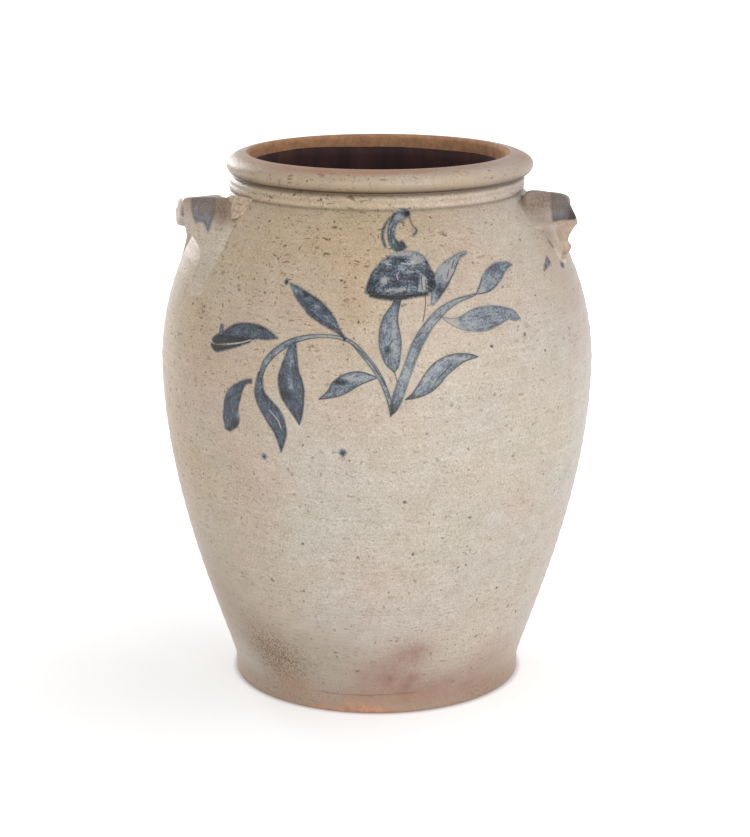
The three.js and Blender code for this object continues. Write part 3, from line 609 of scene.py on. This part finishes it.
# Distance from each spot to a run of straight pieces: the nearest point of the nearest piece.
def lineGap(spots, line, shut=False):
    a = line if shut else line[:-1]
    b = np.roll(line, -1, axis=0) if shut else line[1:]
    ab = b - a
    off = spots[:, None, :] - a
    share = np.clip((off * ab).sum(-1) / np.maximum((ab ** 2).sum(-1), 1e-9), 0, 1)
    return np.linalg.norm(off - share[..., None] * ab, axis=-1).min(1)


# Signed distance to a stroke's outline, positive inside: the gap to it, with the sign from how often a level line
# crosses it; then the place along and across the stroke, from the nearest point midway between its edges.
def strokeField(spots, stroke):
    over, under = (through(stroke[key], slip["fieldSteps"]) for key in ("over", "under"))
    a = np.vstack([over, under[::-1]])
    b = np.roll(a, -1, axis=0)
    u, z = spots[:, :1], spots[:, 1:]
    spans = (a[:, 1] > z) != (b[:, 1] > z)
    rise = np.where(b[:, 1] == a[:, 1], 1e-9, b[:, 1] - a[:, 1])
    crossed = (spans & (u < a[:, 0] + (b[:, 0] - a[:, 0]) * (z - a[:, 1]) / rise)).sum(1)
    gap = lineGap(spots, a, shut=True)
    edge = np.where(crossed % 2 == 1, gap, -gap)
    middle = (over + under) / 2
    run = np.append(0, np.cumsum(np.linalg.norm(np.diff(middle, axis=0), axis=1)))
    heading = unit(np.gradient(middle, axis=0))
    nearest = np.linalg.norm(spots[:, None, :] - middle, axis=-1).argmin(1)
    off = spots - middle[nearest]
    along = run[nearest] + (off * heading[nearest]).sum(1)
    across = off[:, 1] * heading[nearest, 0] - off[:, 0] * heading[nearest, 1]
    return edge, along, across, np.clip(along / run[-1], 0, 1)


# The whole sprig as it lies at some spots: the stroke that reaches furthest over a spot gives its slip.
def paintFields(spots, strokes):
    keys = ("washEdge", "washDepth", "washFleck", "strokeAlong", "strokeAcross", "cutGap", "paleAndHighlightGap")
    paint = {key: np.full(len(spots), plainFields[key]) for key in keys}
    for number, stroke in enumerate(strokes.values()):
        marks = np.array(stroke["over"] + stroke["under"])
        near = ((spots > marks.min(0) - slip["nearby"]) & (spots < marks.max(0) + slip["nearby"])).all(1)
        if not near.any():
            continue
        here = spots[near]
        edge, along, across, share = strokeField(here, stroke)
        reach = edge - stroke.get("inset", 0)
        depth = np.interp(share, [0, 0.5, 1], stroke["depth"])
        depth = depth + patchField(here[:, 0], here[:, 1], stroke.get("tones", []))
        wins = reach > paint["washEdge"][near]
        for key, value in (("washEdge", reach), ("washDepth", depth), ("washFleck", stroke.get("fleck", 1)),
                           ("strokeAlong", along + slip["streakShift"] * number), ("strokeAcross", across)):
            paint[key][near] = np.where(wins, value, paint[key][near])
        if "line" in stroke:
            outline = np.abs(edge) + slip["faint"] * (1 - stroke["line"])
            paint["cutGap"][near] = np.minimum(paint["cutGap"][near], outline)
        for key, lines in (("cutGap", stroke.get("cuts", [])), ("paleAndHighlightGap", stroke.get("lights", []))):
            for line in lines:
                paint[key][near] = np.minimum(paint[key][near], lineGap(here, through(line, slip["cutSteps"])))
    return paint


# A stroke of slip: a thin skin on the wall between its two edges and a little beyond, proud where slip lies and sunk
# under the glaze outside it, with its back buried in the wall.
def makeStroke(key, stroke):
    over, under = (through(stroke[name], slip["edgeSteps"]) for name in ("over", "under"))
    middle = (over + under) / 2
    heading = unit(np.gradient(middle, axis=0))
    leftward = np.stack([-heading[:, 1], heading[:, 0]], -1)
    if ((over - under) * leftward).sum() < 0:
        over, under = under, over
    margin = slip["margin"]
    left, right = over + margin * leftward, under - margin * leftward
    first, last = middle[0] - margin * heading[0], middle[-1] + margin * heading[-1]
    left = np.vstack([first + margin * leftward[0], left, last + margin * leftward[-1]])
    right = np.vstack([first - margin * leftward[0], right, last - margin * leftward[-1]])
    edges = np.hstack([left, right])
    edges = spaced(edges, np.full(len(edges), slip["grid"] * slip["rowStretch"]))
    width = np.linalg.norm(edges[:, :2] - edges[:, 2:], axis=1).max()
    t = np.linspace(0, 1, int(width / slip["grid"]) + 2)[None, :, None]
    t = np.concatenate([t, t[:, [-1, len(t[0]) // 2, 0]]], axis=1)
    flat = edges[:, None, :2] * (1 - t) + edges[:, None, 2:] * t
    angle, level = flat[..., 0] / body["bellyRadius"], flat[..., 1]

    fields = firedFields(angle, level)
    for name, values in paintFields(flat.reshape(-1, 2), sprig).items():
        fields[name] = values.reshape(level.shape)
    shown = np.maximum(fields["washEdge"], slip["cutReach"] - np.minimum(fields["cutGap"], fields["paleAndHighlightGap"]))
    lift = slip["thickness"] * smoothStep(shown, *slip["rise"]) - slip["sunk"]
    lift[:, -3:] = -slip["buried"]
    radius, outward, upward = wallAt(level)
    reach = radius + unevenness(angle, level) + lift * outward
    rows = np.stack([reach * np.sin(angle), -reach * np.cos(angle), level + lift * upward], -1)
    piece = tubePiece("cobalt" + key[0].upper() + key[1:], rows, rows[0].mean(0), rows[-1].mean(0), fields, stoneware)
    node = "cobalt_" + "".join("_" + c.lower() if c.isupper() else c for c in key)
    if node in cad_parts:
        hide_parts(node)


for strokeKey, stroke in sprig.items():
    makeStroke(strokeKey, stroke)

# Slip lining: liquid brown clay slip poured in and out, fired to a dark, dull, slightly streaked skin.
lining = {
    "inner": [[(12, 12.9), (65.5, 12.9)], [(65.5, 12.9), (76.4, 12.9), (79.4, 24.2)],
              [(79.4, 24.2), (87.2, 47.6), (125.3, 129), (125.3, 207)],
              [(125.3, 207), (125.3, 216), (120.9, 267), (80.6, 302)], [(80.6, 302), (78.8, 313.8)],
              [(78.8, 313.8), (78.1, 326.6)]],
    "thickness": 0.6, "rowStep": 6.0, "columns": 180,  # mm
    "edgeWave": 0.4, "edgeTilt": (0.8, -0.7), "edgeFrom": (300, 325),  # mm, tilt to the right and to the front
    "dark": "#463537", "warm": "#62443e", "roughness": 0.75, "specular": 0.1,
    "streakSize": 14, "streakSqueeze": (1, 1, 0.25), "peelSize": 2.5, "peelDepth": 0.4,  # mm
}


def liningMaterial():
    material, tree = newMaterial("brownSlipGlaze")
    mm = scaled(tree, objectPlace(tree), 1000.0)
    runs = addNode(tree, "ShaderNodeMapping", {"Vector": mm, "Scale": lining["streakSqueeze"]})
    share = ramp(tree, noiseIn(tree, runs, lining["streakSize"], 3), 0.4, 0.75)
    skin = mixTone(tree, share, linear(lining["dark"]), linear(lining["warm"]))
    peel = noiseIn(tree, mm, lining["peelSize"], 2)
    bump = addNode(tree, "ShaderNodeBump", {"Height": peel, "Strength": 0.2, "Distance": lining["peelDepth"] / 1000})
    shader = addNode(tree, "ShaderNodeBsdfPrincipled", {"Base Color": skin, "Normal": bump,
                                                        "Roughness": lining["roughness"],
                                                        "Specular IOR Level": lining["specular"]})
    addNode(tree, "ShaderNodeOutputMaterial", {"Surface": shader})
    return material


# The lining is a shell: up its inner face, over the slip's edge and down the face next to the clay.
def makeLining():
    inner = np.vstack([bezier(points, 40) for points in lining["inner"]])
    inner = spaced(inner, np.full(len(inner), lining["rowStep"]))
    slope = unit(np.gradient(inner, axis=0))
    outer = inner + lining["thickness"] * np.stack([slope[:, 1], -slope[:, 0]], -1)
    line = np.vstack([inner, outer[::-1]])
    angle = np.linspace(-np.pi, np.pi, lining["columns"], endpoint=False)[None, :]
    radius, level = line[:, :1], line[:, 1:]
    wave = lining["edgeWave"] * (np.sin(3 * angle + 1) + 0.5 * np.sin(8 * angle))
    wave = wave + lining["edgeTilt"][0] * np.sin(angle) + lining["edgeTilt"][1] * np.cos(angle)
    level = level + wave * smoothStep(level, *lining["edgeFrom"])
    # the profile climbs the side that faces the axis, so the ring runs the other way round
    aside = body["mouthShare"] * rimAside(level)
    rows = np.stack([aside - radius * np.sin(angle), -radius * np.cos(angle), level], -1)
    piece = tubePiece("slipLining", rows, (0, 0, line[0, 1]), (0, 0, line[-1, 1]), {}, liningMaterial())
    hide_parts("slip_lining")


makeLining()

# Ear handles: pulled straps of clay, folded down at both ends and pressed onto the shoulder.
# A leg runs from the handle's middle to its tail: outer edge, inner edge and thickness of the strap, in mm.
# Paint is strokes as on the wall, but placed sideways and up from the front; a break shows raw clay.
ears = {
    "ringStep": 0.75, "steps": 300, "section": (16, 6.5), "sectionSamples": 2000,  # section: half width and height
    "facing": (8, 14),  # how far in front of the axis the painted side starts and is whole
    "brownShares": {"kilnPatchAndShade": 0.4, "blushAndShade": 0.15, "rust": 0, "grimeAndShade": 0.28}, "fleck": 0.45,
    "wholeLeg": [(-123.5, -17, 303.5, -92, -13, 304.5, 13), (-119.7, -33, 310, -89, -37, 311.2, 13),
                 (-117.6, -40.6, 312.4, -88.4, -47, 313.4, 12.5), (-117.2, -44.8, 310.4, -88, -52.4, 311.4, 12),
                 (-117, -46.2, 305, -87.6, -55, 306.5, 12), (-116.2, -48, 297.6, -87.4, -61, 300, 11),
                 (-112.6, -51, 292, -89, -63.5, 293.5, 10), (-108.4, -54, 286, -91.6, -66.5, 286.8, 9.5),
                 (-107.1, -54, 280.8, -94.4, -68, 280.8, 9), (-108.6, -54.6, 275.8, -97.2, -68.6, 275.6, 9),
                 (-111.3, -54.4, 270, -99.8, -68.6, 270.4, 8), (-112.9, -55.6, 263.4, -102.6, -68.8, 264.2, 6.5),
                 (-111.9, -59.6, 258, -105.4, -68.6, 258.6, 4.5), (-110, -63, 252, -107.4, -66.4, 252.4, 2.5)],
    "brokenLeg": [(119, 2, 298, 92, 2, 301, 13), (118.6, -22, 310, 90.5, -24, 313, 13),
                  (117.4, -31.5, 312.2, 90, -35.5, 317, 12.5), (117.8, -36.6, 309.8, 89.8, -42.4, 315, 12),
                  (119.8, -38.6, 304.8, 89.8, -45, 308.6, 12), (122, -40, 299.5, 91.4, -46, 301, 11),
                  (122, -42, 296.4, 94.6, -47.6, 295.6, 10), (116, -45, 287, 101.2, -44.4, 289, 9),
                  (116.9, -44.6, 279.5, 105.8, -43.4, 283, 8), (115.8, -37, 275, 109.2, -43, 277.5, 6),
                  (114, -37.5, 270.6, 111.5, -40.4, 272, 3)],
    # the left handle's back leg, of which a sliver shows; the right one's is the same turned round
    "backLeg": [(-124.8, 1.7, 304.7, -96.9, 14.9, 305.9, 13), (-124.5, 9, 299, -103, 26, 299.8, 12.5),
                (-124, 11.5, 292, -107, 31, 293.5, 12), (-121.8, 14, 285, -107.5, 35.5, 287, 11),
                (-121, 15, 279, -110, 37.5, 280.5, 10), (-122.2, 15.5, 273, -112, 39, 274, 9),
                (-123.6, 15.5, 267.5, -114.5, 39.5, 268, 8), (-124.8, 17, 262, -118.5, 39.5, 262.5, 6.5),
                (-124.6, 21, 257, -121, 36, 257.5, 4.5), (-124.2, 26, 251, -122.5, 33, 251.5, 2.5)],
    "left": {
        "turn": 188, "sharpness": 6.0, "fillet": 1.2, "tan": 0.42,
        # brown: the handle's brown clay tone, with painted shade where the crown meets the neck and down the crown's
        # outer side
        "brown": [(-91, 306, 6, 8, 1.4), (-103, 312, 13, 7, 1.1), (-104, 304, 9, 8, 0.45), (-122, 304, 3.4, 12, 0.7)],
        "paint": {
            "patch": {"over": [(-111, 313.6), (-110.8, 307), (-109.5, 301.5), (-106, 299.6)],
                      "under": [(-96.6, 313.6), (-96.8, 307), (-98.1, 301.5), (-101, 299)],
                      # the light line down the crown's outer edge is a painted highlight
                      "depth": (0.18, 0.2, 0.16), "lights": [[(-117, 310.6), (-117, 304), (-116.2, 297.6)]]},
            "longDrip": {"over": [(-104.2, 303), (-102.8, 298.6), (-100.7, 294)],
                         "under": [(-98, 303), (-99.2, 298.6), (-100.7, 294)], "depth": (0.2, 0.28, 0.15)},
            "shortDrip": {"over": [(-110, 303.5), (-109.2, 300.6), (-108, 298.4)],
                          "under": [(-106.4, 303.5), (-107, 300.6), (-108, 298.4)], "depth": (0.2, 0.25, 0.15)}}},
    "right": {
        "turn": 2, "sharpness": 3.6, "fillet": 3.5, "tan": 0.6,
        # brown: the handle's brown clay tone, with painted shade where the crown meets the neck
        "brown": [(96, 308, 9, 10, 1.4), (112, 312, 12, 10, 1.3), (103, 289, 6, 10, 0.7)],
        "paint": {
            "patch": {"over": [(105.5, 318), (105.4, 306.9), (105.8, 301.4), (106.5, 297.8)],
                      "under": [(128, 318), (128, 305), (128, 299), (128, 298.6)],
                      "depth": (0.25, 0.4, 0.55), "tones": [(121, 301, 4, 4, 1.8), (112, 311, 8, 3, -0.1)]}},
        "break": {"over": [(106.4, 298), (107.8, 292.8), (111, 284.8), (111.8, 274.3)],
                  "under": [(130, 298.6), (130, 292), (128, 284.8), (124, 274.6)]},
        "brokenBack": 1.6, "brokenEdge": 1.2},
}


def makeEar(side, frontLeg, node):
    ear = ears[side]
    back = np.array(ears["backLeg"], float)
    edges = back[:, :6].reshape(-1, 2, 3)
    turned = (edges[..., 0] + 1j * edges[..., 1]) * np.exp(-1j * math.radians(ears["left"]["turn"]))
    turned = (turned if side == "left" else turned.conj()) * np.exp(1j * math.radians(ear["turn"]))
    edges[..., 0], edges[..., 1] = turned.real, turned.imag
    stations = np.concatenate([np.array(frontLeg, float)[::-1], back])
    if side == "left":
        stations = stations[::-1]

    # strap: squarish rings (superellipse, points evenly apart) hung between the two edge lines
    path = through(stations, ears["steps"])
    outer, inner, thick = path[:, :3], path[:, 3:6], path[:, 6:]
    across = (outer - inner) / 2
    middle = (outer + inner) / 2
    upright = unit(np.cross(across, np.gradient(middle, axis=0)))
    centre = (middle - upright * thick / 2)[:, None]
    t = -np.linspace(0, 2 * np.pi, ears["sectionSamples"])
    ring = np.stack([np.cos(t), np.sin(t)], -1)
    ring = np.sign(ring) * np.abs(ring) ** (2 / ear["sharpness"]) * ears["section"]
    ring = spaced(ring, np.full(len(ring), ears["ringStep"]))[:-1] / ears["section"]
    rows = centre + ring[None, :, :1] * across[:, None] + ring[None, :, 1:] * (upright * thick / 2)[:, None]

    # clay smoothed onto the wall: points near it slide outwards along a quarter-round fillet
    out = np.hypot(rows[..., 0], rows[..., 1])
    radius, outward, upward = wallAt(rows[..., 2])
    lift = (out - radius) * outward
    normal = np.stack([rows[..., 0] / out * outward, rows[..., 1] / out * outward, upward], -1)
    aside = rows - centre
    aside = unit(aside - (aside * normal).sum(-1, keepdims=True) * normal)
    share = np.clip(1 - lift / ear["fillet"], 0, 1)
    rows = rows + aside * (ear["fillet"] * (1 - np.sqrt(1 - share ** 2)))[..., None]

    facing = smoothStep(-rows[..., 1], *ears["facing"])
    if "break" in ear:  # the broken leg: its face sunk behind the old skin
        broken = strokeField(rows[..., [0, 2]].reshape(-1, 2), ear["break"])[0].reshape(facing.shape)
        rows[..., 1] += ear["brokenBack"] * smoothStep(broken, 0, ear["brokenEdge"]) * facing

    fields = firedFields(np.arctan2(rows[..., 0], -rows[..., 1]), rows[..., 2])
    fields["tan"] *= ear["tan"]
    for key, values in paintFields(rows[..., [0, 2]].reshape(-1, 2), ear["paint"]).items():
        fields[key] = np.where(facing > 0.5, values.reshape(facing.shape), fields[key])
    # the handles' brown, partly painted shade, spread over the kiln, blush and dark tones
    brown = patchField(rows[..., 0], rows[..., 2], ear["brown"]) * facing
    for key, share in ears["brownShares"].items():
        fields[key] = share * brown
    fields["washFleck"] = fields["washFleck"] * ears["fleck"]
    if "break" in ear:
        fields["bareEdge"] = np.where(facing > 0.5, broken, plainFields["bareEdge"])
        fields["bareTone"] = np.ones(facing.shape)
    piece = tubePiece("earHandle" + side.title(), rows, rows[0].mean(0), rows[-1].mean(0), fields, stoneware)
    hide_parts(node)


makeEar("left", ears["wholeLeg"], "handle_left")
makeEar("right", ears["brokenLeg"], "handle_right")

# Clay drawn from the left handle onto the neck with a finger: a ruled skin from its upper to its lower edge, furrowed
# by a slanting sine wave, with its back buried in the wall.
smear = {
    "upper": [(-91, -45, 312), (-87, -46.5, 314.3), (-82, -50, 314.4), (-75, -53, 313.6)],
    "lower": [(-90, -55, 302), (-86, -56.5, 301.6), (-82.5, -57, 302.6), (-78.5, -56.6, 305.5)],
    "columns": 60, "rowCount": 48, "buried": (7, 9, -3),
    # rust: the tone laid in the furrows, which is painted shade
    "furrows": 4, "slant": 0.55, "depth": 0.16, "furrowAim": (-0.5, -0.8, 0.2), "rust": 0.15, "tan": 0.9,
}


def makeSmear():
    down = np.linspace(0, 1, smear["rowCount"])[:, None]
    along = np.linspace(0, 1, smear["columns"])[None, :]
    upper, lower = (through(smear[key], smear["columns"]) for key in ("upper", "lower"))
    front = upper * (1 - down[..., None]) + lower * down[..., None]
    wave = np.sin(2 * np.pi * smear["furrows"] * (along + smear["slant"] * down))
    front = front + (wave * smear["depth"])[..., None] * smear["furrowAim"]
    back = front[:, [-1, smear["columns"] // 2, 0]] + smear["buried"]
    rows = np.concatenate([front, back], axis=1)
    fields = firedFields(np.arctan2(rows[..., 0], -rows[..., 1]), rows[..., 2])
    # painted shade: the furrows' hollows take a rust tone
    fields["rust"] = np.concatenate([smear["rust"] * (1 - wave), np.zeros(back.shape[:2])], axis=1)
    fields["tan"] = smear["tan"] * fields["tan"]
    fields["grimeAndShade"] = np.zeros(rows.shape[:2])
    piece = tubePiece("claySmear", rows, rows[0].mean(0), rows[-1].mean(0), fields, stoneware)


makeSmear()

# Stage: white floor that shows white to the camera and still takes the shadow, with painted shadow round the foot,
# white surroundings, soft lamps.
stage = {
    "floorSize": 40.0, "floorBounce": 0.85, "floorShown": 0.7,  # m, and how much light it throws and shows
    "glow": (0.25, 0.9, 0.6, 1.0),  # from and to, in m from the foot's middle, and its strength there
    # painted shadow: the glow is lowered in a thin ring round the foot and in a soft patch to its left
    "paintedContactShadow": (0.0905, 0.0945, 0.2),  # dark line under the foot: from and to in m, least light
    "shade": (-0.13, -0.02, 0.22, 0.72),  # soft shadow: place and reach in m, least light
    "domeLow": 0.73, "domeHigh": 0.76,
    # lamp: place, size, watts
    "lamps": {"keyRight": ((1.15, -2.1, 0.35), 1.3, 19.5), "fillLeft": ((-1.5, -1.7, 0.15), 1.3, 3.5),
              "fillRight": ((1.7, -0.9, 0.06), 0.8, 2), "rimLeft": ((-1.0, 1.7, 0.75), 0.8, 12)},
    "target": (0, 0, 0.17),
}


def shownDirectly(tree):  # 1 where the camera or a reflection looks
    path = addNode(tree, "ShaderNodeLightPath")
    return maths(tree, "MAXIMUM", path.outputs["Is Camera Ray"], path.outputs["Is Glossy Ray"])


def makeFloor():
    material, tree = newMaterial("whitePaperSweep")
    place = objectPlace(tree)
    away = vectorMaths(tree, "LENGTH", place)
    # painted shadow: less glow round the foot's edge and in a soft patch to the left
    inner, outer, least = stage["paintedContactShadow"]
    paintedContactShadow = ramp(tree, away, inner, outer, least)
    strength = maths(tree, "MULTIPLY", ramp(tree, away, *stage["glow"]), paintedContactShadow)
    shadeX, shadeY, reach, least = stage["shade"]
    aside = vectorMaths(tree, "DISTANCE", place, (shadeX, shadeY, 0))
    shade = ramp(tree, aside.outputs["Value"], 0.0, reach, least, interpolation_type="SMOOTHSTEP")
    glow = addNode(tree, "ShaderNodeEmission", {"Strength": maths(tree, "MULTIPLY", strength, shade)})
    bounce, shown = (addNode(tree, "ShaderNodeBsdfDiffuse", {"Color": (*[stage[key]] * 3, 1)})
                     for key in ("floorBounce", "floorShown"))
    lit = addNode(tree, "ShaderNodeAddShader", {0: shown, 1: glow})
    surface = addNode(tree, "ShaderNodeMixShader", {0: shownDirectly(tree), 1: bounce, 2: lit})
    addNode(tree, "ShaderNodeOutputMaterial", {"Surface": surface})
    half = stage["floorSize"] / 2
    mesh = bpy.data.meshes.new("floor")
    mesh.from_pydata([(-half, -half, 0), (half, -half, 0), (half, half, 0), (-half, half, 0)], [], [(0, 1, 2, 3)])
    mesh.materials.append(material)
    floor = bpy.data.objects.new("floor", mesh)
    scene.collection.objects.link(floor)


def makeLight():
    scene.world = bpy.data.worlds.new("whiteRoom")
    scene.world.use_nodes = True
    tree = scene.world.node_tree
    tree.nodes.clear()
    aim = addNode(tree, "ShaderNodeTexCoord").outputs["Generated"]
    height = addNode(tree, "ShaderNodeSeparateXYZ", {0: aim}).outputs["Z"]
    dome = ramp(tree, height, 0.0, 1.0, stage["domeLow"], stage["domeHigh"])
    sky = addNode(tree, "ShaderNodeBackground", {"Strength": ramp(tree, shownDirectly(tree), 0.0, 1.0, dome)})
    addNode(tree, "ShaderNodeOutputWorld", {"Surface": sky})

    for name, (place, size, watts) in stage["lamps"].items():
        lamp = bpy.data.lights.new(name, "AREA")
        lamp.shape, lamp.size, lamp.energy = "DISK", size, watts
        holder = bpy.data.objects.new(name, lamp)
        holder.location = place
        aim = np.array(stage["target"]) - np.array(place)
        holder.rotation_euler = (math.acos(-aim[2] / np.linalg.norm(aim)), 0, math.atan2(-aim[0], aim[1]))
        scene.collection.objects.link(holder)


makeFloor()
makeLight()

# Camera fitted to the ellipses of the rim and the foot.
view = {"place": (-0.0010, -1.3783, 0.5207), "pitchDown": 0.25316, "lens": 96.19}
camera = bpy.data.objects.new("camera", bpy.data.cameras.new("camera"))
camera.location = view["place"]
camera.rotation_euler = (math.pi / 2 - view["pitchDown"], 0, 0)
camera.data.lens = view["lens"]
scene.collection.objects.link(camera)
scene.camera = camera

print("stage, lamps and camera set")
